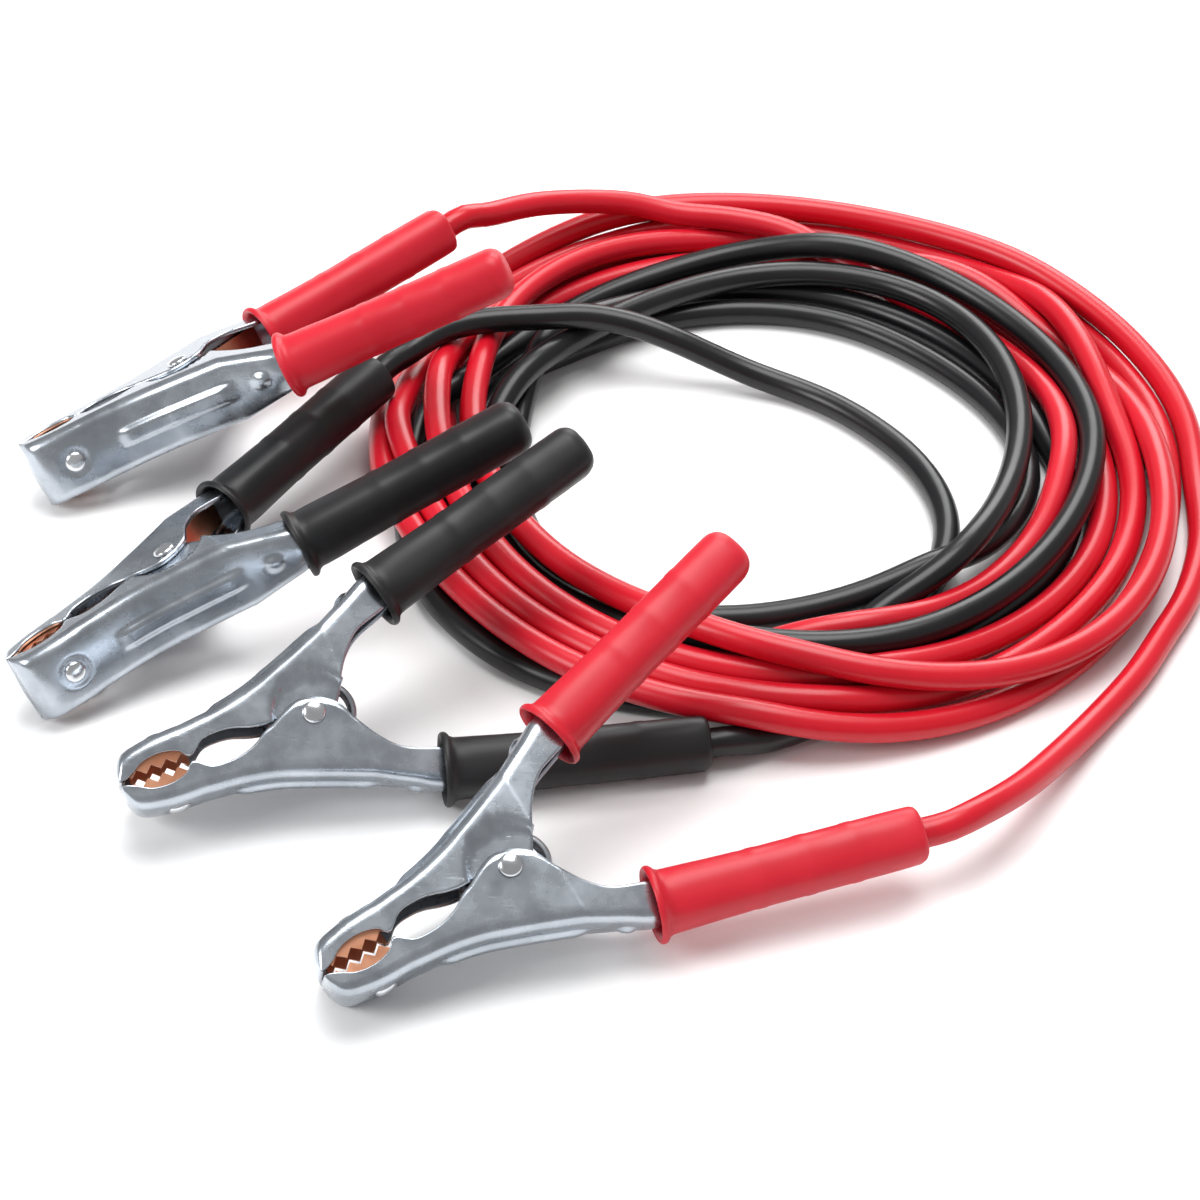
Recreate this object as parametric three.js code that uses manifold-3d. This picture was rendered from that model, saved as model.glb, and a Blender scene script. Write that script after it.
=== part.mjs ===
// A set of car jumper cables, laid down loosely coiled: a red lead and a black lead with a sheet-steel
// spring clamp on each end. Millimetres, +Z up, standing on z = 0. The origin is under the middle of the
// box round the four clamps.
//
// Each clamp is drawn in its own frame: u from the pivot towards the handles, v across the clamp, and n
// along the pivot. The half on the +v side is drawn, and the other half is its mirror image.

import * as THREE from 'three';
import Module from 'manifold-3d';
import { mergeVertices } from 'three/addons/utils/BufferGeometryUtils.js';

// Sheet-steel channel
const SHEET = 1.3;
const CHANNEL_WIDTH = 20.5;
const BEND_RADIUS = 2.2;
const JAW_REACH = 52.4;
const TIP_DEPTH = 8.6;
const THROAT_DEPTH = 9.7;
const SHOULDER_DEPTH = 14;
const WAIST_U = 10;
const RIB_WIDTH = 4.6;
const RIB_HEIGHT = 0.9;

// Teeth, bite and gap between the closed halves
const PARTING = 0.6;
const BITE_DEPTH = 4.2;
const MOUTH_DEPTH = 4.2;
const MOUTH_LENGTH = 20.2;

// Handle
const HANDLE_TILT = 15.4;
const RIM_U = 26.8;
const RIM_V = 25;
const TANG_LENGTH = 52;
const TANG_WIDTH = 9.6;
const TANG_DEPTH = 6;
const NECK_WIDTH = 13;
const NECK_DEPTH = 10.2;
const NECK_RUN = 9.5;

// Grip sleeve
const GRIP_LENGTH = 71;
const GRIP_RADIUS = 7.5;
const GRIP_RIM_RADIUS = 10;
const GRIP_WALL_CLEARANCE = 0.55;
const GRIP_SIDES = 12;

// Pivot
const PIN_RADIUS = 2.2;
const PIN_HEAD_RADIUS = 3.2;
const PIN_HEAD_HEIGHT = 1.5;
const EAR_CLEARANCE_RADIUS = 10;
const EAR_STEP = 1.5;
const EAR_START_U = 13.3;
const INNER_EAR_RADIUS = 6;

// Spring
const WIRE_RADIUS = 1.1;
const SPRING_RADIUS = 7.2;
const SPRING_TURNS = 2.7;
const SPRING_HALF_SPAN = 3.6;
const LEG_LENGTH = 21.6;
const LEG_TILT = 38;

// Copper insert, its rivet and the strap
const COPPER = 0.8;
const CONTACT_LENGTH = 19.4;
const TOOTH_PITCH = 4;
const TOOTH_DEPTH = 1.8;
const TIP_TO_RIVET = 12.4;
const RIVET_SHANK_RADIUS = 1.5;
const RIVET_HEAD_RADIUS = 3;
const RIVET_HEAD_HEIGHT = 1.5;
const RIVET_TAIL_RADIUS = 2.4;
const RIVET_TAIL_HEIGHT = 0.8;
const RIVET_TAIL_DROP = 0.45;
const STRAP_WIDTH = 8;
const STRAP_END_U = 29;

// Gap kept between pieces that touch
const GAP = 0.3;

// Sides of the small round pieces
const ROUND_SIDES = 8;

// Cables
const CABLE_RADIUS = 4;
const CABLE_SIDES = 8;
const COIL_CENTRE = [58, 61];
const COIL_OUTER_RADIUS = 117;
const COIL_INNER_RADIUS = 62;
const COIL_HEIGHT = 17;
const COIL_SEGMENTS = 36;

// Each clamp's pivot on the floor plan, its turns in degrees, and which half holds the cable
const CLAMPS = [
  { name: 'front_red', at: [-22.9, -123.8], heading: 30.4, rise: 10.8, roll: 29.4, cableSide: -1, grip: 'red' },
  { name: 'front_black', at: [-75.1, -70.4], heading: 22.8, rise: 6.8, roll: 36.2, cableSide: -1, grip: 'black' },
  { name: 'rear_red', at: [-121, 65.3], heading: 24.9, rise: 15.5, roll: -26.8, cableSide: 1, grip: 'red' },
  { name: 'rear_black', at: [-115.8, -15], heading: 39.9, rise: 10.8, roll: -23.7, cableSide: 1, grip: 'black' },
];

// Where each lead runs between its grip and the coil
const LEADS = {
  front_red: [
    [93, -102, 18], [108, -88, 13.5], [123, -69, 8], [136, -52, 5], [148, -36, 4.3],
    [157, -20, 4.2], [165, -6, 4.2], [170, 8, 4.2], [173, 22, 4.2],
  ],
  front_black: [[38, -63, 5.6], [49, -60, 4.6], [61, -55, 4.2], [74, -49, 4.2]],
  rear_red: [[-38, 151, 28], [-24, 161, 26], [-8, 169, 22], [10, 173, 18], [26, 172, 13]],
  rear_black: [
    [-60, 87, 20], [-51, 95, 21.5], [-41, 100, 21.5], [-30, 102, 21.5], [-16, 103, 21.5], [-2, 104, 21.5],
    [11, 102, 21], [23, 99, 18.5], [35, 97, 13.5], [48, 94, 8.5], [62, 89, 5.5], [74, 81, 4.3],
    [85, 70, 4.2], [94, 58, 4.2], [100, 45, 4.2], [103, 32, 4.2], [103, 20, 4.2], [100, 8, 4.2],
  ],
};

const wasm = await Module();
wasm.setup();

const MATERIALS = {
  steel: new THREE.MeshStandardMaterial({ color: 0xa9adb0, roughness: 0.38, metalness: 1 }),
  rivet: new THREE.MeshStandardMaterial({ color: 0xc9cccf, roughness: 0.25, metalness: 1 }),
  spring: new THREE.MeshStandardMaterial({ color: 0x8e9194, roughness: 0.35, metalness: 1 }),
  copper: new THREE.MeshStandardMaterial({ color: 0xc9754c, roughness: 0.35, metalness: 1 }),
  redGrip: new THREE.MeshStandardMaterial({ color: 0xd8273a, roughness: 0.5, metalness: 0 }),
  blackGrip: new THREE.MeshStandardMaterial({ color: 0x242427, roughness: 0.5, metalness: 0 }),
  redCable: new THREE.MeshStandardMaterial({ color: 0xd11a33, roughness: 0.4, metalness: 0 }),
  blackCable: new THREE.MeshStandardMaterial({ color: 0x1f1f22, roughness: 0.4, metalness: 0 }),
};

const tilt = THREE.MathUtils.degToRad(HANDLE_TILT);
const along = new THREE.Vector2(Math.cos(tilt), Math.sin(tilt));
const halfWidth = CHANNEL_WIDTH / 2;
const innerFace = halfWidth - SHEET;
const innerEarFace = innerFace - GAP;
const contactBack = JAW_REACH - CONTACT_LENGTH;
const rivetU = JAW_REACH - TIP_TO_RIVET;
const mouthStretch = (contactBack + 0.5 - EAR_START_U) / MOUTH_LENGTH;

// A closed three.js geometry as a solid for joining and cutting
function toSolid(geometry) {
  const bare = geometry.index ? geometry.toNonIndexed() : geometry.clone();
  bare.deleteAttribute('normal');
  bare.deleteAttribute('uv');
  const merged = mergeVertices(bare, 1e-4);
  return new wasm.Manifold(new wasm.Mesh({
    numProp: 3,
    vertProperties: new Float32Array(merged.attributes.position.array),
    triVerts: new Uint32Array(merged.index.array),
  }));
}

function toGeometry(solid) {
  const mesh = solid.getMesh();
  const geometry = new THREE.BufferGeometry();
  const points = new Float32Array(mesh.numVert * 3);
  for (let i = 0; i < mesh.numVert; i += 1) {
    for (let k = 0; k < 3; k += 1) points[3 * i + k] = mesh.vertProperties[i * mesh.numProp + k];
  }
  geometry.setAttribute('position', new THREE.BufferAttribute(points, 3));
  geometry.setIndex(new THREE.BufferAttribute(new Uint32Array(mesh.triVerts), 1));
  geometry.computeVertexNormals();
  return geometry;
}

function shapeOf(points) {
  return new THREE.Shape(points.map(([x, y]) => new THREE.Vector2(x, y)));
}

// A side outline in (u, v), extruded along n between two planes, with its edges rounded by a bevel
function sidePrism(points, low, high, bevel = 0) {
  const geometry = new THREE.ExtrudeGeometry(shapeOf(points), {
    depth: high - low - 2 * bevel,
    steps: 1,
    bevelEnabled: bevel > 0,
    bevelThickness: bevel,
    bevelSize: bevel,
    bevelOffset: -bevel,
    bevelSegments: 1,
  });
  geometry.translate(0, 0, low + bevel);
  return toSolid(geometry);
}

// A plan outline in (u, n), extruded along v
function planPrism(points, low, high) {
  const geometry = new THREE.ExtrudeGeometry(shapeOf(points), { depth: high - low, bevelEnabled: false });
  geometry.translate(0, 0, low);
  geometry.rotateX(-Math.PI / 2);
  return toSolid(geometry);
}

// A round bar about the pivot line, between two planes
function pivotDisc(radius, low, high, sides = 18) {
  const geometry = new THREE.CylinderGeometry(radius, radius, high - low, sides);
  geometry.rotateX(Math.PI / 2);
  geometry.translate(0, 0, (low + high) / 2);
  return toSolid(geometry);
}

// A copy of a line of points, moved sideways towards the inside of the channel
function inset(points, distance) {
  return points.map((point, i) => {
    const before = points[Math.max(i - 1, 0)];
    const after = points[Math.min(i + 1, points.length - 1)];
    const direction = new THREE.Vector2(after[0] - before[0], after[1] - before[1]).normalize();
    return [point[0] + direction.y * distance, point[1] - direction.x * distance];
  });
}

// A point near the handle's centre line: run along it from the rim, and side outwards from it
function handlePoint(run, side) {
  return [RIM_U + along.x * run - along.y * side, RIM_V + along.y * run + along.x * side];
}

// The channel's back, from the lower corner of the tip to the end of the tang
const webLine = [
  [-JAW_REACH, PARTING],
  [-JAW_REACH + 0.4, TIP_DEPTH / 2],
  [-JAW_REACH + 1.9, TIP_DEPTH - 1.6],
  [-JAW_REACH + 5.4, TIP_DEPTH],
  [-rivetU, THROAT_DEPTH - 0.1],
  [-contactBack, THROAT_DEPTH],
  [-25, THROAT_DEPTH + 0.8],
  [-18, THROAT_DEPTH + 1.9],
  [-10, SHOULDER_DEPTH],
  [-2, SHOULDER_DEPTH + 3],
  [8, SHOULDER_DEPTH + 7],
  [15, SHOULDER_DEPTH + 10.5],
  handlePoint(0, NECK_DEPTH / 2),
  handlePoint(NECK_RUN, TANG_DEPTH / 2),
  handlePoint(TANG_LENGTH, TANG_DEPTH / 2),
];

// A point on the edge of the mouth, which stretches between the ears and the teeth
function mouthPoint(run, depth) {
  return [-EAR_START_U - run * mouthStretch, depth];
}

// The free edge of the side plates, from the tip to where the pivot's ears begin
const biteEdge = [
  [-JAW_REACH, PARTING],
  [-JAW_REACH + 3.4, PARTING + 0.9],
  [-JAW_REACH + 6.8, BITE_DEPTH - 0.7],
  [-rivetU - 1.8, BITE_DEPTH],
  [-rivetU + 1.6, BITE_DEPTH - 0.3],
  [-contactBack - 2.5, BITE_DEPTH - 1.4],
  mouthPoint(MOUTH_LENGTH, PARTING),
  mouthPoint(15.9, MOUTH_DEPTH - 0.5),
  mouthPoint(11.5, MOUTH_DEPTH),
  mouthPoint(7.6, MOUTH_DEPTH - 0.5),
  mouthPoint(3.6, MOUTH_DEPTH - 1.9),
];

const outerEar = [
  [-EAR_START_U, 0], [-11, -0.8], [-7.5, -2.8], [-3.4, -4.4], [1, -3.8], [4.1, -2.3], [6.9, 0.2],
];

const innerEdge = [[-EAR_START_U, 1.5], [-11, 1.8], [6.9, 1.8]];

const handleEdge = [
  [8, 2],
  [9.7, 5.7],
  [13.7, 11.8],
  [18.4, 16.3],
  handlePoint(0, -NECK_DEPTH / 2),
  handlePoint(NECK_RUN, -TANG_DEPTH / 2),
  handlePoint(TANG_LENGTH + 1, -TANG_DEPTH / 2),
];

// The channel's half-width from tip to tang, less a wall
function planOutline(wall) {
  const side = [
    [-JAW_REACH - 1, halfWidth],
    [WAIST_U, halfWidth],
    [RIM_U, NECK_WIDTH / 2],
    [RIM_U + NECK_RUN, TANG_WIDTH / 2],
    [RIM_U + TANG_LENGTH + 4, TANG_WIDTH / 2],
  ];
  const near = side.map(([u, n]) => [u, -(n - wall)]);
  const far = side.map(([u, n]) => [u, n - wall]).reverse();
  return [...near, ...far];
}

// The block between the channel's back and a line well below its edges
function blockOutline(line, floor) {
  return [...line].reverse().concat([[line[0][0], floor], [line[line.length - 1][0], floor]]);
}

function rivetHole(clearance) {
  const radius = RIVET_SHANK_RADIUS + clearance;
  const geometry = new THREE.CylinderGeometry(radius, radius, 12, ROUND_SIDES);
  geometry.translate(-rivetU, THROAT_DEPTH, 0);
  return toSolid(geometry);
}

// A folded channel half with the given free edge
function channel(edge) {
  const floor = -14;
  const wide = CHANNEL_WIDTH;
  const block = sidePrism(blockOutline(webLine, floor), -halfWidth, halfWidth, BEND_RADIUS);
  const hollowLine = inset(webLine, SHEET);
  const last = hollowLine.length - 1;
  hollowLine[0] = [-JAW_REACH + SHEET, floor];
  hollowLine[last] = [hollowLine[last][0] + 3 * along.x, hollowLine[last][1] + 3 * along.y];
  const hollow = sidePrism(blockOutline(hollowLine, floor - 1), -wide, wide)
    .intersect(planPrism(planOutline(SHEET), -wide, 2 * wide + RIM_V));
  const below = [...edge, [edge[edge.length - 1][0], floor - 2], [-JAW_REACH - 2, floor - 2], [-JAW_REACH - 2, PARTING]];
  const ribLine = webLine.slice(6, 11);
  const rib = sidePrism(
    [...inset(ribLine, SHEET / 2), ...inset(ribLine, -RIB_HEIGHT).reverse()],
    -RIB_WIDTH / 2,
    RIB_WIDTH / 2,
  );
  return block
    .intersect(planPrism(planOutline(0), -wide, 2 * wide + RIM_V))
    .subtract(hollow)
    .subtract(sidePrism(below, -wide, wide))
    .add(rib)
    .subtract(rivetHole(GAP));
}

function cableJaw() {
  const solid = channel([...biteEdge, ...outerEar, ...handleEdge.slice(1)]);
  return solid.subtract(pivotDisc(PIN_RADIUS + GAP, -CHANNEL_WIDTH, CHANNEL_WIDTH, ROUND_SIDES));
}

// The free half's ears step inwards, so that they turn inside the other half's
function freeJaw() {
  const edge = [...biteEdge, ...innerEdge, ...handleEdge];
  let solid = channel(edge);
  const silhouette = sidePrism(
    [...edge.slice(11), [40, 40], [-14, 40]],
    -CHANNEL_WIDTH,
    CHANNEL_WIDTH,
  );
  const stepRadius = EAR_CLEARANCE_RADIUS + EAR_STEP;
  for (const side of [1, -1]) {
    const band = (near, far) => [Math.min(side * near, side * far), Math.max(side * near, side * far)];
    const cleared = pivotDisc(EAR_CLEARANCE_RADIUS, ...band(innerEarFace, CHANNEL_WIDTH));
    const step = pivotDisc(stepRadius, ...band(innerEarFace - SHEET, innerFace + 0.1)).intersect(silhouette);
    const ear = pivotDisc(INNER_EAR_RADIUS, ...band(innerEarFace - SHEET, innerEarFace));
    solid = solid.add(step).subtract(cleared).add(ear);
  }
  return solid.subtract(pivotDisc(PIN_RADIUS + GAP, -CHANNEL_WIDTH, CHANNEL_WIDTH, ROUND_SIDES));
}

// The copper insert: a small channel inside the jaw, with teeth along both edges
function contact() {
  const line = [
    [-JAW_REACH + SHEET + 1.5, PARTING + 1],
    [-JAW_REACH + SHEET + 2.2, TIP_DEPTH - SHEET - 2.2],
    [-JAW_REACH + 6.5, TIP_DEPTH - SHEET - GAP],
    [-rivetU, THROAT_DEPTH - SHEET - GAP - 0.1],
    [-contactBack - GAP, THROAT_DEPTH - SHEET - GAP],
  ];
  const teeth = [];
  const teethCount = Math.floor((JAW_REACH - SHEET - 2 - contactBack) / TOOTH_PITCH);
  for (let i = 0; i <= teethCount; i += 1) {
    const u = -contactBack - GAP - i * TOOTH_PITCH;
    teeth.push([u, PARTING]);
    if (i < teethCount) teeth.push([u - TOOTH_PITCH / 2, PARTING + TOOTH_DEPTH]);
  }
  const outerHalf = innerFace - GAP;
  const outline = [...line].reverse().concat(teeth.reverse());
  const hollow = [...inset(line, COPPER).reverse(), [-JAW_REACH + SHEET + 1, -1], [-contactBack + 1, -1]];
  hollow[0] = [-contactBack + 1, hollow[0][1]];
  hollow[line.length - 1] = [-JAW_REACH + SHEET + 1, hollow[line.length - 2][1]];
  return sidePrism(outline, -outerHalf, outerHalf)
    .subtract(sidePrism(hollow, -outerHalf + COPPER, outerHalf - COPPER))
    .subtract(rivetHole(GAP));
}

// The rivet through the web and the copper insert, with its domed head outside
function contactRivet() {
  const top = THROAT_DEPTH + GAP;
  const tailTop = THROAT_DEPTH - 0.1 - SHEET - GAP - COPPER - GAP - RIVET_TAIL_DROP;
  const profile = [
    [0, tailTop - RIVET_TAIL_HEIGHT],
    [RIVET_TAIL_RADIUS, tailTop - RIVET_TAIL_HEIGHT],
    [RIVET_TAIL_RADIUS, tailTop],
    [RIVET_SHANK_RADIUS, tailTop],
    [RIVET_SHANK_RADIUS, top],
    [RIVET_HEAD_RADIUS, top],
    [RIVET_HEAD_RADIUS * 0.8, top + RIVET_HEAD_HEIGHT * 0.6],
    [0, top + RIVET_HEAD_HEIGHT],
  ];
  const geometry = new THREE.LatheGeometry(profile.map(([r, v]) => new THREE.Vector2(r, v)), ROUND_SIDES);
  geometry.translate(-rivetU, 0, 0);
  return geometry;
}

function pivotRivet() {
  const under = halfWidth + GAP;
  const profile = [
    [0, -under - PIN_HEAD_HEIGHT],
    [PIN_HEAD_RADIUS * 0.75, -under - PIN_HEAD_HEIGHT * 0.7],
    [PIN_HEAD_RADIUS, -under],
    [PIN_RADIUS, -under],
    [PIN_RADIUS, under],
    [PIN_HEAD_RADIUS, under],
    [PIN_HEAD_RADIUS * 0.75, under + PIN_HEAD_HEIGHT * 0.7],
    [0, under + PIN_HEAD_HEIGHT],
  ];
  const geometry = new THREE.LatheGeometry(profile.map(([r, n]) => new THREE.Vector2(r, n)), ROUND_SIDES);
  geometry.rotateX(Math.PI / 2);
  return geometry;
}

// A round bar along a curve
function bar(curve, radius, sides, steps) {
  const section = new THREE.Shape();
  for (let i = 0; i < sides; i += 1) {
    const angle = (2 * Math.PI * (i + 0.5)) / sides;
    const point = [radius * Math.cos(angle), radius * Math.sin(angle)];
    if (i === 0) section.moveTo(...point);
    else section.lineTo(...point);
  }
  return new THREE.ExtrudeGeometry(section, { steps, extrudePath: curve, bevelEnabled: false });
}

// A wound spring about the pivot, whose two legs press the handles apart
function torsionSpring() {
  const start = THREE.MathUtils.degToRad(90 + LEG_TILT);
  const sweep = 2 * Math.PI * SPRING_TURNS;
  const end = start + sweep;
  const legTurn = 2 * start - 2 * Math.PI * Math.round((end + start) / (2 * Math.PI)) + end - start;
  const points = [];
  const total = sweep - legTurn;
  const turnSteps = 27;
  const place = (angle, n) => new THREE.Vector3(SPRING_RADIUS * Math.cos(angle), SPRING_RADIUS * Math.sin(angle), n);
  const upper = new THREE.Vector3(Math.sin(start), -Math.cos(start), 0);
  points.push(place(start, -SPRING_HALF_SPAN).addScaledVector(upper, LEG_LENGTH));
  for (let i = 0; i <= turnSteps; i += 1) {
    const share = i / turnSteps;
    points.push(place(start + share * total, -SPRING_HALF_SPAN + 2 * SPRING_HALF_SPAN * share));
  }
  const last = start + total;
  const lower = new THREE.Vector3(-Math.sin(last), Math.cos(last), 0);
  points.push(place(last, SPRING_HALF_SPAN).addScaledVector(lower, LEG_LENGTH));
  const path = new THREE.CurvePath();
  for (let i = 1; i < points.length; i += 1) path.add(new THREE.LineCurve3(points[i - 1], points[i]));
  return bar(path, WIRE_RADIUS, 5, 29);
}

// The copper strip that lies along the inside of the cable-side channel
function copperStrap() {
  const line = webLine.slice(5, 13);
  line[0] = [-contactBack + GAP, THROAT_DEPTH];
  const top = inset(line, SHEET + GAP);
  const bottom = inset(line, SHEET + GAP + COPPER);
  return sidePrism([...top, ...bottom.reverse()], -STRAP_WIDTH / 2, STRAP_WIDTH / 2)
    .intersect(planPrism([[-90, -30], [STRAP_END_U, -30], [STRAP_END_U, 30], [-90, 30]], -60, 60));
}

// A grip sleeve on the handle, drawn along its own length from the rim
function grip(open) {
  const tangHalf = Math.hypot(TANG_WIDTH, TANG_DEPTH) / 2;
  const neckHalf = Math.hypot(NECK_WIDTH, NECK_DEPTH) / 2;
  const bore = tangHalf + GRIP_WALL_CLEARANCE;
  const mouth = neckHalf + GRIP_WALL_CLEARANCE;
  const boreEnd = TANG_LENGTH + 2;
  const profile = [
    [0, boreEnd],
    [bore, boreEnd],
    [bore, NECK_RUN],
    [mouth, 0],
    [GRIP_RIM_RADIUS, 0],
    [GRIP_RIM_RADIUS - 0.6, 3],
    [GRIP_RADIUS + 0.6, 9],
    [GRIP_RADIUS, 16],
  ];
  if (open) {
    profile.push([GRIP_RADIUS, GRIP_LENGTH - 1.2]);
    profile.push([GRIP_RADIUS - 1.2, GRIP_LENGTH]);
  } else {
    for (const angle of [0, 30, 60]) {
      const turn = THREE.MathUtils.degToRad(angle);
      const shoulder = GRIP_LENGTH - GRIP_RADIUS * 0.8;
      profile.push([GRIP_RADIUS * Math.cos(turn), shoulder + GRIP_RADIUS * 0.8 * Math.sin(turn)]);
    }
  }
  profile.push([0, GRIP_LENGTH]);
  const geometry = new THREE.LatheGeometry(profile.map(([r, s]) => new THREE.Vector2(r, s)), GRIP_SIDES);
  geometry.rotateZ(tilt - Math.PI / 2);
  geometry.translate(RIM_U, RIM_V, 0);
  return geometry;
}

// The middle of the coil's outline: flat below, with the turns of cable showing on top and outside
function coilGeometry() {
  const lobes = Math.round((COIL_OUTER_RADIUS - COIL_INNER_RADIUS) / (2 * CABLE_RADIUS));
  const pitch = (COIL_OUTER_RADIUS - COIL_INNER_RADIUS) / lobes;
  const shoulder = COIL_HEIGHT - CABLE_RADIUS;
  const profile = [
    [COIL_INNER_RADIUS + 1, 0],
    [COIL_OUTER_RADIUS - 1, 0],
    [COIL_OUTER_RADIUS, CABLE_RADIUS],
    [COIL_OUTER_RADIUS - 1.5, 2 * CABLE_RADIUS],
  ];
  for (let i = lobes - 1; i >= 0; i -= 1) {
    const middle = COIL_INNER_RADIUS + (i + 0.5) * pitch;
    for (const angle of [0, 60, 120, 180]) {
      if (angle === 180 && i > 0) continue;
      const turn = THREE.MathUtils.degToRad(angle);
      profile.push([middle + (pitch / 2) * Math.cos(turn), shoulder + CABLE_RADIUS * Math.sin(turn)]);
    }
  }
  profile.push([COIL_INNER_RADIUS + 1.5, 2 * CABLE_RADIUS]);
  profile.push([COIL_INNER_RADIUS, CABLE_RADIUS]);
  profile.push(profile[0]);
  const geometry = new THREE.LatheGeometry(profile.map(([r, z]) => new THREE.Vector2(r, z)), COIL_SEGMENTS);
  geometry.rotateX(Math.PI / 2);
  geometry.translate(COIL_CENTRE[0], COIL_CENTRE[1], 0);
  return geometry;
}

// A plain ring that a lead stops against, a gap larger than the coil all round
function coilLimit() {
  const outer = new THREE.CylinderGeometry(
    COIL_OUTER_RADIUS + GAP, COIL_OUTER_RADIUS + GAP, COIL_HEIGHT + 2 * GAP + 2, COIL_SEGMENTS);
  const inner = new THREE.CylinderGeometry(
    COIL_INNER_RADIUS - GAP, COIL_INNER_RADIUS - GAP, COIL_HEIGHT + 6, COIL_SEGMENTS);
  for (const cylinder of [outer, inner]) {
    cylinder.rotateX(Math.PI / 2);
    cylinder.translate(COIL_CENTRE[0], COIL_CENTRE[1], COIL_HEIGHT / 2 - 1);
  }
  return toSolid(outer).subtract(toSolid(inner));
}

function namedMesh(name, geometry, material) {
  const mesh = new THREE.Mesh(geometry, material);
  mesh.name = name;
  return mesh;
}

// The mirror image of a half, across the clamp's middle
function onSide(geometry, side) {
  if (side > 0) return geometry;
  const flipped = geometry.index ? geometry.toNonIndexed() : geometry.clone();
  flipped.scale(1, -1, 1);
  const position = flipped.attributes.position;
  const corner = new THREE.Vector3();
  const other = new THREE.Vector3();
  for (let i = 0; i < position.count; i += 3) {
    corner.fromBufferAttribute(position, i + 1);
    other.fromBufferAttribute(position, i + 2);
    position.setXYZ(i + 1, other.x, other.y, other.z);
    position.setXYZ(i + 2, corner.x, corner.y, corner.z);
  }
  flipped.computeVertexNormals();
  return flipped;
}

const shapes = {
  cableJaw: toGeometry(cableJaw()),
  freeJaw: toGeometry(freeJaw()),
  contact: toGeometry(contact()),
  contactRivet: contactRivet(),
  pivotRivet: pivotRivet(),
  spring: torsionSpring(),
  strap: toGeometry(copperStrap()),
  openGrip: grip(true),
  closedGrip: grip(false),
};

// One clamp, turned to lie as its lead holds it, with its lowest corner on the floor
function clamp({ name, at, heading, rise, roll, cableSide, grip: colour }) {
  const group = new THREE.Group();
  const gripMaterial = MATERIALS[`${colour}Grip`];
  const pieces = [
    ['cable_jaw', onSide(shapes.cableJaw, cableSide), MATERIALS.steel],
    ['free_jaw', onSide(shapes.freeJaw, -cableSide), MATERIALS.steel],
    ['cable_contact', onSide(shapes.contact, cableSide), MATERIALS.copper],
    ['free_contact', onSide(shapes.contact, -cableSide), MATERIALS.copper],
    ['cable_contact_rivet', onSide(shapes.contactRivet, cableSide), MATERIALS.rivet],
    ['free_contact_rivet', onSide(shapes.contactRivet, -cableSide), MATERIALS.rivet],
    ['pivot_rivet', shapes.pivotRivet, MATERIALS.rivet],
    ['torsion_spring', shapes.spring, MATERIALS.spring],
    ['copper_strap', onSide(shapes.strap, cableSide), MATERIALS.copper],
    ['cable_grip', onSide(shapes.openGrip, cableSide), gripMaterial],
    ['free_grip', onSide(shapes.closedGrip, -cableSide), gripMaterial],
  ];
  for (const [piece, geometry, material] of pieces) group.add(namedMesh(`${name}_${piece}`, geometry, material));
  group.rotation.set(
    THREE.MathUtils.degToRad(roll),
    -THREE.MathUtils.degToRad(rise),
    THREE.MathUtils.degToRad(heading),
    'ZYX',
  );
  group.position.set(at[0], at[1], 0);
  group.updateMatrixWorld(true);
  group.position.z = -new THREE.Box3().setFromObject(group, true).min.z;
  group.updateMatrixWorld(true);
  return group;
}

// A lead from the end of its grip to the coil
function lead(clampGroup, { name, cableSide }, material) {
  const [u, v] = handlePoint(GRIP_LENGTH + GAP, 0);
  const end = clampGroup.localToWorld(new THREE.Vector3(u, cableSide * v, 0));
  const [du, dv] = handlePoint(GRIP_LENGTH + 2 * CABLE_RADIUS, 0);
  const beyond = clampGroup.localToWorld(new THREE.Vector3(du, cableSide * dv, 0));
  const route = [end, beyond, ...LEADS[name].map((point) => new THREE.Vector3(...point))];
  const curve = new THREE.CatmullRomCurve3(route, false, 'centripetal');
  const steps = Math.round(curve.getLength() / (5 * CABLE_RADIUS));
  const tube = toSolid(bar(curve, CABLE_RADIUS, CABLE_SIDES, steps));
  const solid = name === 'front_red' ? tube : tube.subtract(coilLimit());
  return namedMesh(`${name}_lead`, toGeometry(solid), material);
}

const clamps = new THREE.Group();
const cables = new THREE.Group();
cables.add(namedMesh('cable_coil', coilGeometry(), MATERIALS.redCable));
for (const place of CLAMPS) {
  const group = clamp(place);
  clamps.add(group);
  cables.add(lead(group, place, MATERIALS[`${place.grip}Cable`]));
}

const jumperCables = new THREE.Group();
jumperCables.add(clamps, cables);
const middle = new THREE.Box3().setFromObject(clamps, true).getCenter(new THREE.Vector3());
jumperCables.position.set(-middle.x, -middle.y, 0);
jumperCables.updateMatrixWorld(true);

export default jumperCables;
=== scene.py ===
"""A set of car jumper cables, laid down loosely coiled, as it looks on a pale floor.

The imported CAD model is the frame. The copper inserts and straps keep their CAD shapes and get their
finishes here, the pressed jaws, rivets, springs and grips are modelled again in full detail in the places
that the frame gives, and the two cables are laid turn on turn over the coil's plain CAD ring.
"""
import logging
import math
from dataclasses import dataclass
from enum import Enum

import bmesh
import bpy
import numpy as np
from mathutils import Matrix, Vector


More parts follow.
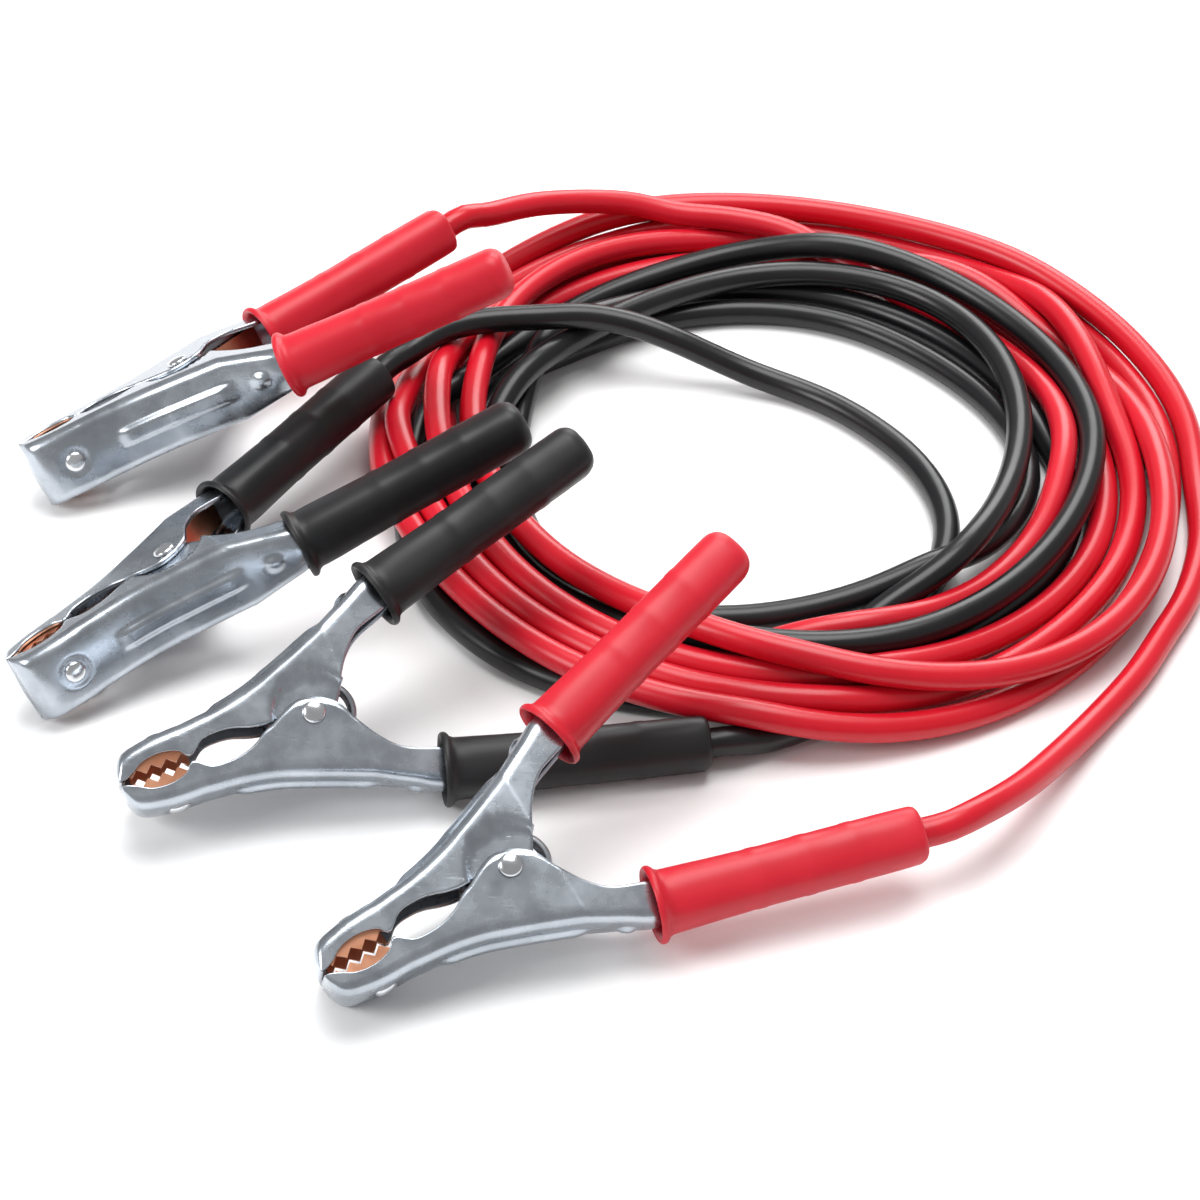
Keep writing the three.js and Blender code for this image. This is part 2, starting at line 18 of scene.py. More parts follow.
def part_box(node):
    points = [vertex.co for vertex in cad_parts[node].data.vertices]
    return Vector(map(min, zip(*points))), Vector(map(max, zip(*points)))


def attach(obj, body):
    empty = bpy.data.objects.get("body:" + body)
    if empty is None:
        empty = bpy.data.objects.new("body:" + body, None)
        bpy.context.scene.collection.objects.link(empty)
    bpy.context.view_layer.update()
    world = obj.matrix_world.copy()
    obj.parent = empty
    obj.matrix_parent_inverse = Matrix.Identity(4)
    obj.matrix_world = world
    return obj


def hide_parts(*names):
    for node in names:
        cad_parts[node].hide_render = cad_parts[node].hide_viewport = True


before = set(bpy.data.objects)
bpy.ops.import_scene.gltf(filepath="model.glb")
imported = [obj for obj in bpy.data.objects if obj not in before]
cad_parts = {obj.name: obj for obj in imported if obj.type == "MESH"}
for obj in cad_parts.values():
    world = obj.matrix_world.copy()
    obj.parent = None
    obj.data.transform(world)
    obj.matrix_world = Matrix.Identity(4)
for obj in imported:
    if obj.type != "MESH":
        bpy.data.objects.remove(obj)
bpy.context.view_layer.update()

LOG = logging.getLogger("jumper_cables")

MM = 0.001
ROOT_BODY = "leads_and_cable_halves"

# Where the floor plan's own origin lies in the frame, in metres
PLAN_ORIGIN = Vector((0.044203, 0.005567, 0.0))

# The handles' slant against the jaws, and where their centre line meets the grip's rim
HANDLE_TILT = math.radians(15.4)
RIM_U = 26.8
RIM_V = 25.0
GRIP_LENGTH = 71.0
CABLE_RADIUS = 4.0

# The photograph's camera: how steeply it looks down, how far off it stands and how wide it sees
CAMERA_ELEVATION = math.radians(42.0)
CAMERA_DISTANCE = 0.780
CAMERA_LENS = 81.9


class Side(Enum):
    """Which half of a clamp a piece belongs to."""

    CABLE = "cable"
    FREE = "free"


@dataclass(frozen=True)
class ClampPlace:
    """How one clamp lies: its turns in degrees, and which side of it holds the cable."""

    name: str
    colour: str
    heading: float
    rise: float
    roll: float
    cable_side: int

    def matrix(self) -> Matrix:
        """Give the turn and place of the clamp's own frame.

        Returns:
            The matrix from clamp coordinates in metres (along, across, pivot axis) to the frame.
        """
        low, high = (Vector(corner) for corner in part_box(f"{self.name}_pivot_rivet"))
        turn = (
            Matrix.Rotation(math.radians(self.heading), 4, "Z")
            @ Matrix.Rotation(-math.radians(self.rise), 4, "Y")
            @ Matrix.Rotation(math.radians(self.roll), 4, "X")
        )
        return Matrix.Translation((low + high) / 2) @ turn

    def sign(self, side: Side) -> int:
        """Give the side of the clamp's middle, +1 or -1, that a half is on."""
        return self.cable_side if side is Side.CABLE else -self.cable_side

    def body(self, side: Side) -> str:
        """Name the body that a half's pieces ride on."""
        return ROOT_BODY if side is Side.CABLE else f"{self.name}_free_half"


CLAMPS = (
    ClampPlace("front_red", "red", 30.4, 10.8, 29.4, -1),
    ClampPlace("front_black", "black", 22.8, 6.8, 36.2, -1),
    ClampPlace("rear_red", "red", 24.9, 15.5, -26.8, 1),
    ClampPlace("rear_black", "black", 39.9, 10.8, -23.7, 1),
)


def handle_point(run: float, side: float) -> tuple[float, float]:
    """Give a point near a handle's centre line.

    Args:
        run: Millimetres along the handle from the grip's rim.
        side: Millimetres outwards from its centre line.

    Returns:
        The point's place along and across the clamp, in millimetres.
    """
    along_u, along_v = math.cos(HANDLE_TILT), math.sin(HANDLE_TILT)
    return RIM_U + along_u * run - along_v * side, RIM_V + along_v * run + along_u * side


def smooth_step(low: float, high: float, value: float) -> float:
    """Rise smoothly from 0 at low to 1 at high, or fall where high is the smaller."""
    share = min(max((value - low) / (high - low), 0.0), 1.0)
    return share * share * (3.0 - 2.0 * share)


def catmull_rom(points: np.ndarray, count: int) -> np.ndarray:
    """Draw a smooth line through points.

    Args:
        points: The points that the line passes through, one row each.
        count: How many points to give back, evenly spaced along the line.

    Returns:
        The points on the smooth line, one row each.
    """
    padded = np.vstack([2 * points[0] - points[1], points, 2 * points[-1] - points[-2]])
    pieces = []
    share = np.linspace(0.0, 1.0, 12, endpoint=False)[:, None]
    for i in range(1, len(padded) - 2):
        before, start, stop, after = padded[i - 1 : i + 3]
        knots = [0.0]
        for first, second in ((before, start), (start, stop), (stop, after)):
            knots.append(knots[-1] + max(float(np.linalg.norm(second - first)), 1e-6) ** 0.5)
        t = knots[1] + share * (knots[2] - knots[1])
        a1 = ((knots[1] - t) * before + t * start) / knots[1]
        a2 = ((knots[2] - t) * start + (t - knots[1]) * stop) / (knots[2] - knots[1])
        a3 = ((knots[3] - t) * stop + (t - knots[2]) * after) / (knots[3] - knots[2])
        b1 = ((knots[2] - t) * a1 + t * a2) / knots[2]
        b2 = ((knots[3] - t) * a2 + (t - knots[1]) * a3) / (knots[3] - knots[1])
        pieces.append(((knots[2] - t) * b1 + (t - knots[1]) * b2) / (knots[2] - knots[1]))
    return respace(np.vstack(pieces + [padded[-2][None]]), count)


def respace(points: np.ndarray, count: int) -> np.ndarray:
    """Space a line's points evenly.

    Args:
        points: The line's points, one row each.
        count: How many points to give back.

    Returns:
        The evenly spaced points.
    """
    run = np.concatenate([[0.0], np.cumsum(np.linalg.norm(np.diff(points, axis=0), axis=1))])
    stops = np.linspace(0.0, run[-1], count)
    return np.stack([np.interp(stops, run, points[:, k]) for k in range(points.shape[1])], axis=1)


def line_length(points: np.ndarray) -> float:
    """Measure a line through points."""
    return float(np.linalg.norm(np.diff(points, axis=0), axis=1).sum())


def object_from_bmesh(name: str, shape: bmesh.types.BMesh, finish: bpy.types.Material) -> bpy.types.Object:
    """Make a finished piece from a bmesh, with smooth faces.

    Args:
        name: The piece's name.
        shape: The bmesh, which is freed.
        finish: The piece's material.

    Returns:
        The linked object, at the origin.
    """
    mesh = bpy.data.meshes.new(name)
    shape.to_mesh(mesh)
    shape.free()
    mesh.materials.append(finish)
    mesh.shade_smooth()
    piece = bpy.data.objects.new(name, mesh)
    bpy.context.scene.collection.objects.link(piece)
    return piece


def turned_bmesh(profile: list[tuple[float, float]], steps: int) -> bmesh.types.BMesh:
    """Turn a profile about the Z axis into a closed shape.

    Args:
        profile: Radius and height of each point, in millimetres, from one end on the axis to the other.
        steps: How many sides the shape has.

    Returns:
        The turned bmesh, in metres.
    """
    shape = bmesh.new()
    verts = [shape.verts.new((radius * MM, 0.0, height * MM)) for radius, height in profile]
    edges = [shape.edges.new(pair) for pair in zip(verts, verts[1:])]
    bmesh.ops.spin(
        shape, geom=verts + edges, cent=(0, 0, 0), axis=(0, 0, 1),
        angle=2 * math.pi, steps=steps, use_merge=True, use_duplicate=False,
    )
    bmesh.ops.remove_doubles(shape, verts=shape.verts, dist=1e-6)
    bmesh.ops.recalc_face_normals(shape, faces=shape.faces)
    return shape


def node_input(node: bpy.types.Node, name: str, value: object) -> None:
    """Set one input of a node by its name."""
    node.inputs[name].default_value = value


def new_group(name: str, inputs: dict[str, float], outputs: dict[str, str]) -> bpy.types.NodeTree:
    """Start a shader node group with float inputs.

    Args:
        name: The group's name.
        inputs: Each input's name and first value.
        outputs: Each output's name and socket type.

    Returns:
        The empty group with its sockets.
    """
    group = bpy.data.node_groups.new(name, "ShaderNodeTree")
    for label, value in inputs.items():
        socket = group.interface.new_socket(name=label, in_out="INPUT", socket_type="NodeSocketFloat")
        socket.default_value = value
    for label, kind in outputs.items():
        group.interface.new_socket(name=label, in_out="OUTPUT", socket_type=kind)
    return group


class Effects:
    """The shader node groups that the finishes share."""

    def __init__(self) -> None:
        """Build each group once."""
        self.handling_marks = self.build_handling_marks()
        self.moulded_skin = self.build_moulded_skin()

    def build_handling_marks(self) -> bpy.types.NodeTree:
        """Build the smudges and fine scratches of plated metal.

        Returns:
            A group that gives a smudge mask, a scratch mask and a small height.
        """
        group = new_group(
            "handling_marks",
            {"Smudge Scale": 90.0, "Scratch Scale": 700.0},
            {"Smudge": "NodeSocketFloat", "Scratch": "NodeSocketFloat", "Height": "NodeSocketFloat"},
        )
        nodes, links = group.nodes, group.links
        entry, leave = nodes.new("NodeGroupInput"), nodes.new("NodeGroupOutput")
        place = nodes.new("ShaderNodeTexCoord")
        smudge = nodes.new("ShaderNodeTexNoise")
        node_input(smudge, "Detail", 5.0)
        node_input(smudge, "Roughness", 0.6)
        stretch = nodes.new("ShaderNodeMapping")
        node_input(stretch, "Rotation", (0.3, 0.2, 0.6))
        node_input(stretch, "Scale", (0.12, 1.0, 1.0))
        scratch = nodes.new("ShaderNodeTexNoise")
        node_input(scratch, "Detail", 3.0)
        thin = nodes.new("ShaderNodeMapRange")
        node_input(thin, "From Min", 0.60)
        node_input(thin, "From Max", 0.74)
        blend = nodes.new("ShaderNodeMath")
        blend.operation = "SUBTRACT"
        links.new(place.outputs["Object"], smudge.inputs["Vector"])
        links.new(place.outputs["Object"], stretch.inputs["Vector"])
        links.new(stretch.outputs["Vector"], scratch.inputs["Vector"])
        links.new(entry.outputs["Smudge Scale"], smudge.inputs["Scale"])
        links.new(entry.outputs["Scratch Scale"], scratch.inputs["Scale"])
        links.new(scratch.outputs["Fac"], thin.inputs["Value"])
        links.new(smudge.outputs["Fac"], blend.inputs[0])
        links.new(thin.outputs["Result"], blend.inputs[1])
        links.new(smudge.outputs["Fac"], leave.inputs["Smudge"])
        links.new(thin.outputs["Result"], leave.inputs["Scratch"])
        links.new(blend.outputs["Value"], leave.inputs["Height"])
        return group

    def build_moulded_skin(self) -> bpy.types.NodeTree:
        """Build the faint orange-peel and the dull patches of soft vinyl.

        Returns:
            A group that gives a patch mask and a small height.
        """
        group = new_group(
            "moulded_skin",
            {"Patch Scale": 35.0, "Peel Scale": 900.0},
            {"Patch": "NodeSocketFloat", "Height": "NodeSocketFloat"},
        )
        nodes, links = group.nodes, group.links
        entry, leave = nodes.new("NodeGroupInput"), nodes.new("NodeGroupOutput")
        place = nodes.new("ShaderNodeTexCoord")
        patch = nodes.new("ShaderNodeTexNoise")
        node_input(patch, "Detail", 4.0)
        peel = nodes.new("ShaderNodeTexNoise")
        node_input(peel, "Detail", 2.0)
        links.new(place.outputs["Object"], patch.inputs["Vector"])
        links.new(place.outputs["Object"], peel.inputs["Vector"])
        links.new(entry.outputs["Patch Scale"], patch.inputs["Scale"])
        links.new(entry.outputs["Peel Scale"], peel.inputs["Scale"])
        links.new(patch.outputs["Fac"], leave.inputs["Patch"])
        links.new(peel.outputs["Fac"], leave.inputs["Height"])
        return group


def ramp_between(
    tree: bpy.types.NodeTree, mask: bpy.types.NodeSocket, low: tuple[float, ...], high: tuple[float, ...]
) -> bpy.types.NodeSocket:
    """Turn a mask into a colour between two colours.

    Args:
        tree: The material's node tree.
        mask: The mask, about 0.3 to 0.7 over the surface.
        low: The colour where the mask is low.
        high: The colour where it is high.

    Returns:
        The colour socket.
    """
    ramp = tree.nodes.new("ShaderNodeValToRGB")
    ramp.color_ramp.elements[0].position = 0.32
    ramp.color_ramp.elements[0].color = (*low, 1.0)
    ramp.color_ramp.elements[1].position = 0.68
    ramp.color_ramp.elements[1].color = (*high, 1.0)
    tree.links.new(mask, ramp.inputs["Fac"])
    return ramp.outputs["Color"]


def range_between(
    tree: bpy.types.NodeTree, mask: bpy.types.NodeSocket, low: float, high: float
) -> bpy.types.NodeSocket:
    """Turn a mask into a value between two values.

    Args:
        tree: The material's node tree.
        mask: The mask, about 0.3 to 0.7 over the surface.
        low: The value where the mask is low.
        high: The value where it is high.

    Returns:
        The value socket.
    """
    step = tree.nodes.new("ShaderNodeMapRange")
    node_input(step, "From Min", 0.3)
    node_input(step, "From Max", 0.7)
    node_input(step, "To Min", low)
    node_input(step, "To Max", high)
    tree.links.new(mask, step.inputs["Value"])
    return step.outputs["Result"]


@dataclass(frozen=True)
class MetalFinish:
    """A plated or bare metal with smudges, fine scratches and a soft unevenness."""

    name: str
    dark: tuple[float, float, float]
    light: tuple[float, float, float]
    smooth: float
    dull: float
    smudge_scale: float = 90.0
    height: float = 0.00004

    def material(self, effects: Effects) -> bpy.types.Material:
        """Build the material.

        Args:
            effects: The shared node groups.

        Returns:
            The metal's material.
        """
        finish = bpy.data.materials.new(self.name)
        finish.use_nodes = True
        tree = finish.node_tree
        shader = tree.nodes["Principled BSDF"]
        node_input(shader, "Metallic", 1.0)
        marks = tree.nodes.new("ShaderNodeGroup")
        marks.node_tree = effects.handling_marks
        node_input(marks, "Smudge Scale", self.smudge_scale)
        tree.links.new(
            ramp_between(tree, marks.outputs["Smudge"], self.dark, self.light), shader.inputs["Base Color"])
        tree.links.new(
            range_between(tree, marks.outputs["Smudge"], self.smooth, self.dull), shader.inputs["Roughness"])
        bump = tree.nodes.new("ShaderNodeBump")
        node_input(bump, "Strength", 0.35)
        node_input(bump, "Distance", self.height)
        tree.links.new(marks.outputs["Height"], bump.inputs["Height"])
        tree.links.new(bump.outputs["Normal"], shader.inputs["Normal"])
        return finish


@dataclass(frozen=True)
class VinylFinish:
    """A soft moulded or extruded vinyl, slightly uneven in its gloss."""

    name: str
    dark: tuple[float, float, float]
    light: tuple[float, float, float]
    smooth: float
    dull: float
    coat: float
    peel: float = 0.00003

    def material(self, effects: Effects) -> bpy.types.Material:
        """Build the material.

        Args:
            effects: The shared node groups.

        Returns:
            The vinyl's material.
        """
        finish = bpy.data.materials.new(self.name)
        finish.use_nodes = True
        tree = finish.node_tree
        shader = tree.nodes["Principled BSDF"]
        node_input(shader, "Coat Weight", self.coat)
        node_input(shader, "Coat Roughness", 0.22)
        node_input(shader, "Specular IOR Level", 0.35)
        skin = tree.nodes.new("ShaderNodeGroup")
        skin.node_tree = effects.moulded_skin
        tree.links.new(
            ramp_between(tree, skin.outputs["Patch"], self.dark, self.light), shader.inputs["Base Color"])
        tree.links.new(
            range_between(tree, skin.outputs["Patch"], self.smooth, self.dull), shader.inputs["Roughness"])
        bump = tree.nodes.new("ShaderNodeBump")
        node_input(bump, "Strength", 0.3)
        node_input(bump, "Distance", self.peel)
        tree.links.new(skin.outputs["Height"], bump.inputs["Height"])
        tree.links.new(bump.outputs["Normal"], shader.inputs["Normal"])
        return finish


FINISHES = {
    "zinc_steel": MetalFinish("zinc_steel", (0.36, 0.39, 0.43), (0.50, 0.54, 0.59), 0.22, 0.32),
    "rivet_steel": MetalFinish("rivet_steel", (0.58, 0.60, 0.62), (0.74, 0.75, 0.77), 0.16, 0.28),
    "spring_steel": MetalFinish("spring_steel", (0.34, 0.36, 0.39), (0.52, 0.54, 0.57), 0.24, 0.38),
    "copper": MetalFinish("copper", (0.72, 0.30, 0.17), (0.86, 0.44, 0.28), 0.26, 0.42),
    "red_grip": VinylFinish("red_grip", (0.50, 0.008, 0.020), (0.58, 0.012, 0.028), 0.38, 0.50, 0.06),
    "black_grip": VinylFinish("black_grip", (0.006, 0.006, 0.007), (0.011, 0.011, 0.012), 0.40, 0.52, 0.04),
    "red_pvc": VinylFinish("red_pvc", (0.51, 0.005, 0.015), (0.57, 0.007, 0.021), 0.28, 0.36, 0.10),
    "black_pvc": VinylFinish("black_pvc", (0.005, 0.005, 0.006), (0.009, 0.009, 0.010), 0.28, 0.36, 0.08),
}


@dataclass
class JawHalf:
    """One pressed steel half of a clamp: jaw, ears and handle in one folded channel.

    Each station pairs a point of the channel's back with the point of its free edge below it, in
    millimetres along and across the clamp.
    """

    sheet: float = 1.3
    half_width: float = 10.25
    bend_radius: float = 3.4
    waist_u: float = 10.0
    neck_half: float = 6.5
    neck_run: float = 9.5
    tang_half: float = 4.8
    rib_half: float = 2.3
    rib_height: float = 1.2
    rib_start: float = -25.0
    rib_end: float = 9.0
    rivet_u: float = -40.0
    dimple_radius: float = 4.4
    dimple_depth: float = 0.5
    knob_u: float = 18.0
    knob_height: float = 1.1
    joggle: float = 1.6
    joggle_radius: float = 10.2
    joggle_run: float = 0.9
    crown: float = 0.5
    neck_depth: float = 5.1
    tang_depth: float = 3.0
    tang_middle: float = 30.0
    tang_length: float = 51.0
    joggled_past: float = 5.0
    rows: int = 168
    side_steps: int = 9
    bend_steps: int = 6
    web_steps: int = 11
    front: tuple = (
        (-52.4, 0.6, -52.2, 0.6), (-52.0, 4.3, -51.4, 0.7), (-50.5, 7.0, -50.2, 1.0),
        (-48.6, 8.1, -48.6, 1.7), (-45.6, 8.8, -45.6, 3.5), (-41.8, 9.4, -41.8, 4.2),
        (-38.4, 9.6, -38.4, 3.9), (-35.5, 9.7, -35.5, 2.8), (-33.3, 9.7, -33.5, 0.7),
        (-29.2, 10.1, -29.2, 3.7), (-25.0, 10.5, -24.8, 4.2), (-21.0, 11.1, -20.9, 3.7),
        (-17.5, 11.8, -16.9, 2.3),
    )
    cable_ear: tuple = (
        (-14.0, 12.7, -13.3, 0.0), (-11.8, 13.4, -11.0, -0.8), (-9.0, 14.4, -7.5, -2.8),
        (-5.5, 15.7, -3.4, -4.4), (-1.5, 17.2, 1.0, -3.8), (2.0, 18.6, 4.1, -2.3), (5.0, 19.8, 6.9, 0.2),
    )
    free_ear: tuple = (
        (-14.0, 12.7, -13.3, 1.5), (-10.5, 13.8, -9.0, 1.2), (-8.0, 14.8, -6.0, -1.2),
        (-5.0, 15.9, -4.4, -4.1), (-1.5, 17.2, 0.0, -5.8), (2.0, 18.6, 4.4, -4.1),
        (5.0, 19.8, 6.2, -0.6), (7.0, 20.6, 8.0, 2.2),
    )
    back: tuple = (
        (9.0, 21.5, 9.7, 5.7), (13.5, 23.8, 13.7, 11.8), (18.0, 26.1, 18.4, 16.3),
    )

    def stations(self, side: Side) -> np.ndarray:
        """Give the stations from the tip to the end of the handle.

        Args:
            side: The half, whose ears differ.

        Returns:
            Rows of back point and edge point.
        """
        ear = self.cable_ear if side is Side.CABLE else self.free_ear
        tail = [
            (*handle_point(run, depth), *handle_point(run, -depth))
            for run, depth in (
                (0.0, self.neck_depth), (self.neck_run, self.tang_depth),
                (self.tang_middle, self.tang_depth), (self.tang_length, self.tang_depth),
            )
        ]
        return catmull_rom(np.array([*self.front, *ear, *self.back, *tail]), self.rows)

    def width_at(self, u: float) -> float:
        """Give half the channel's width at a place along the clamp."""
        marks = (self.waist_u, RIM_U, RIM_U + self.neck_run)
        return float(np.interp(u, marks, (self.half_width, self.neck_half, self.tang_half)))

    def section(self, width: float, height: float) -> list[tuple[float, float]]:
        """Give half a channel section.

        Args:
            width: Half the channel's width there.
            height: How far the back stands above the free edge.

        Returns:
            Distance from the middle and height above the edge, from the edge to the middle of the back.
        """
        bend = min(self.bend_radius, 0.85 * height, 0.7 * width)
        points = [(width, (height - bend) * i / self.side_steps) for i in range(self.side_steps)]
        for i in range(self.bend_steps):
            angle = 0.5 * math.pi * i / self.bend_steps
            points.append((width - bend + bend * math.cos(angle), height - bend + bend * math.sin(angle)))
        for i in range(self.web_steps + 1):
            points.append(((width - bend) * (1 - i / self.web_steps), height))
        return points

    def relief(self, u: float, across: float) -> float:
        """Give the height of the rib, dimple and knob pressed into the back.

        Args:
            u: Place along the clamp.
            across: Distance from the middle of the back.

        Returns:
            Millimetres outwards.
        """
        ends = smooth_step(self.rib_start - 2, self.rib_start + 3, u)
        ends *= smooth_step(self.rib_end + 3, self.rib_end - 3, u)
        rib = self.rib_height * ends * smooth_step(self.rib_half + 0.9, self.rib_half - 0.7, across)
        off_rivet = math.hypot(u - self.rivet_u, across)
        outer, inner = self.dimple_radius + 0.5, self.dimple_radius - 0.9
        dimple = self.dimple_depth * smooth_step(outer, inner, off_rivet)
        knob = self.knob_height * smooth_step(3.0, 0.8, math.hypot(u - self.knob_u, across))
        crown = self.crown * (1 - min(across / (self.width_at(u) - self.bend_radius), 1.0) ** 2)
        return rib - dimple + knob + crown

    def build(self, place: ClampPlace, side: Side, finish: bpy.types.Material) -> bpy.types.Object:
        """Build the folded half in its clamp's place.

        Args:
            place: The clamp.
            side: Which half.
            finish: The steel's material.

        Returns:
            The piece, riding on its body and standing for its CAD node.
        """
        rows = self.stations(side)
        columns = 2 * (self.side_steps + self.bend_steps + self.web_steps)
        shape = bmesh.new()
        bmesh.ops.create_grid(shape, x_segments=len(rows) - 1, y_segments=columns, size=0.5)
        shape.verts.ensure_lookup_table()
        order = sorted(shape.verts, key=lambda vert: (round(vert.co.x, 5), round(vert.co.y, 5)))
        sign = place.sign(side)
        matrix = place.matrix()
        for i, (back_u, back_v, edge_u, edge_v) in enumerate(rows):
            height = math.hypot(back_u - edge_u, back_v - edge_v)
            up = ((back_u - edge_u) / max(height, 1e-6), (back_v - edge_v) / max(height, 1e-6))
            half = self.section(self.width_at(back_u), max(height, 0.2))
            full = [(-n, h) for n, h in half[:-1]] + [(n, h) for n, h in reversed(half)]
            for j, (n, h) in enumerate(full):
                u, v = edge_u + up[0] * h, edge_v + up[1] * h
                narrow = self.width_at(u) / self.width_at(back_u)
                n *= narrow
                if h > height - 0.01:
                    lift = self.relief(u, abs(n))
                    u, v = u + up[0] * lift, v + up[1] * lift
                if side is Side.FREE and abs(n) > self.joggled_past:
                    outer = self.joggle_radius + self.joggle_run
                    inside = smooth_step(outer, self.joggle_radius, math.hypot(u, v))
                    n -= math.copysign(self.joggle * inside, n)
                order[i * (columns + 1) + j].co = (u * MM, sign * v * MM, n * MM)
        bmesh.ops.recalc_face_normals(shape, faces=shape.faces)
        on_back = Vector((-0.03, sign * 0.0101, 0))
        probe = min(shape.faces, key=lambda face: (face.calc_center_median() - on_back).length)
        if probe.normal.y * sign < 0:
            bmesh.ops.reverse_faces(shape, faces=shape.faces)
        bmesh.ops.transform(shape, matrix=matrix, verts=shape.verts)
        piece = object_from_bmesh(f"{place.name}_{side.value}_jaw_sheet", shape, finish)
        wall = piece.modifiers.new("wall", "SOLIDIFY")
        wall.thickness = self.sheet * MM
        wall.offset = -1.0
        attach(piece, place.body(side))
        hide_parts(f"{place.name}_{side.value}_jaw")
        LOG.info("%s: %d rows", piece.name, len(rows))
        return piece


@dataclass
class Grip:
    """A moulded vinyl sleeve on a handle, with a flared rim."""

    radius: float = 7.5
    rim_radius: float = 10.0
    steps: int = 48
    ridge_runs: tuple[float, ...] = (27.0, 40.0, 52.5)
    ridge_height: float = 0.14
    ridge_half: float = 0.9
    squareness: float = 2.6
    blunt: float = 0.55

    def profile(self, side: Side) -> list[tuple[float, float]]:
        """Give the sleeve's outline, radius and run, from inside its mouth to its far end.

        Args:
            side: The cable's sleeve has a flat end with a hole, and the free one is domed.

        Returns:
            The points of the outline, in millimetres.
        """
        rim = self.rim_radius
        body = self.radius
        points = [
            (0.0, 15.0), (5.9, 15.0), (6.3, 10.0), (7.7, 1.6), (8.2, 0.5), (8.9, -0.1), (9.5, -0.2),
            (rim - 0.1, 0.2), (rim, 0.8), (rim - 0.15, 1.4), (rim - 0.6, 1.9), (rim - 1.25, 2.4),
            (rim - 1.7, 3.4), (rim - 1.85, 5.0), (rim - 2.0, 9.0), (body + 0.25, 16.0), (body + 0.1, 23.0),
        ]
        for run in self.ridge_runs:
            tall = body + self.ridge_height
            half = self.ridge_half
            points += [(body, run - 2 * half), (tall, run - half)]
            points += [(tall, run + half), (body, run + 2 * half)]
        if side is Side.CABLE:
            points += [(body, 60.0), (body - 0.05, 66.0), (body - 0.15, GRIP_LENGTH - 1.6)]
            points += [(body - 0.5, GRIP_LENGTH - 0.6), (body - 1.2, GRIP_LENGTH - 0.05)]
            points += [(body - 2.2, GRIP_LENGTH), (4.5, GRIP_LENGTH), (4.15, GRIP_LENGTH - 0.4)]
            return points + [(4.1, GRIP_LENGTH - 4.0), (0.0, GRIP_LENGTH - 4.0)]
        points += [(body, 60.0), (body - 0.05, 66.0)]
        for angle in (12, 24, 36, 48, 60, 72, 82):
            turn = math.radians(angle)
            points.append(((body - 0.05) * math.cos(turn) ** self.blunt, 66.0 + 5.0 * math.sin(turn)))
        points.append((0.0, GRIP_LENGTH))
        return points

    def build(self, place: ClampPlace, side: Side, finish: bpy.types.Material) -> bpy.types.Object:
        """Build the sleeve on its handle.

        Args:
            place: The clamp.
            side: Which handle.
            finish: The vinyl's material.

        Returns:
            The piece, riding on its body and standing for its CAD node.
        """
        shape = turned_bmesh(self.profile(side), self.steps)
        for vert in shape.verts:
            if math.hypot(vert.co.x, vert.co.y) < 0.0046 or vert.co.z < 0.0019:
                continue
            angle = math.atan2(vert.co.y, vert.co.x)
            power = 2.0 + (self.squareness - 2.0) * smooth_step(1.9, 7.0, vert.co.z / MM)
            round_sum = abs(math.cos(angle)) ** power + abs(math.sin(angle)) ** power
            vert.co.xy *= round_sum ** (-1.0 / power)
        sign = place.sign(side)
        along = Vector((math.cos(HANDLE_TILT), sign * math.sin(HANDLE_TILT), 0))
        pivot_axis = Vector((0, 0, 1))
        outwards = pivot_axis.cross(along)
        turn = Matrix((outwards, pivot_axis, along)).transposed().to_4x4()
        start = Matrix.Translation(Vector((RIM_U, sign * RIM_V, 0)) * MM)
        bmesh.ops.transform(shape, matrix=place.matrix() @ start @ turn, verts=shape.verts)
        bmesh.ops.recalc_face_normals(shape, faces=shape.faces)
        piece = object_from_bmesh(f"{place.name}_{side.value}_sleeve", shape, finish)
        piece.data.set_sharp_from_angle(angle=math.radians(50))
        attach(piece, place.body(side))
        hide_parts(f"{place.name}_{side.value}_grip")
        LOG.info("%s: %d points round", piece.name, self.steps)
        return piece


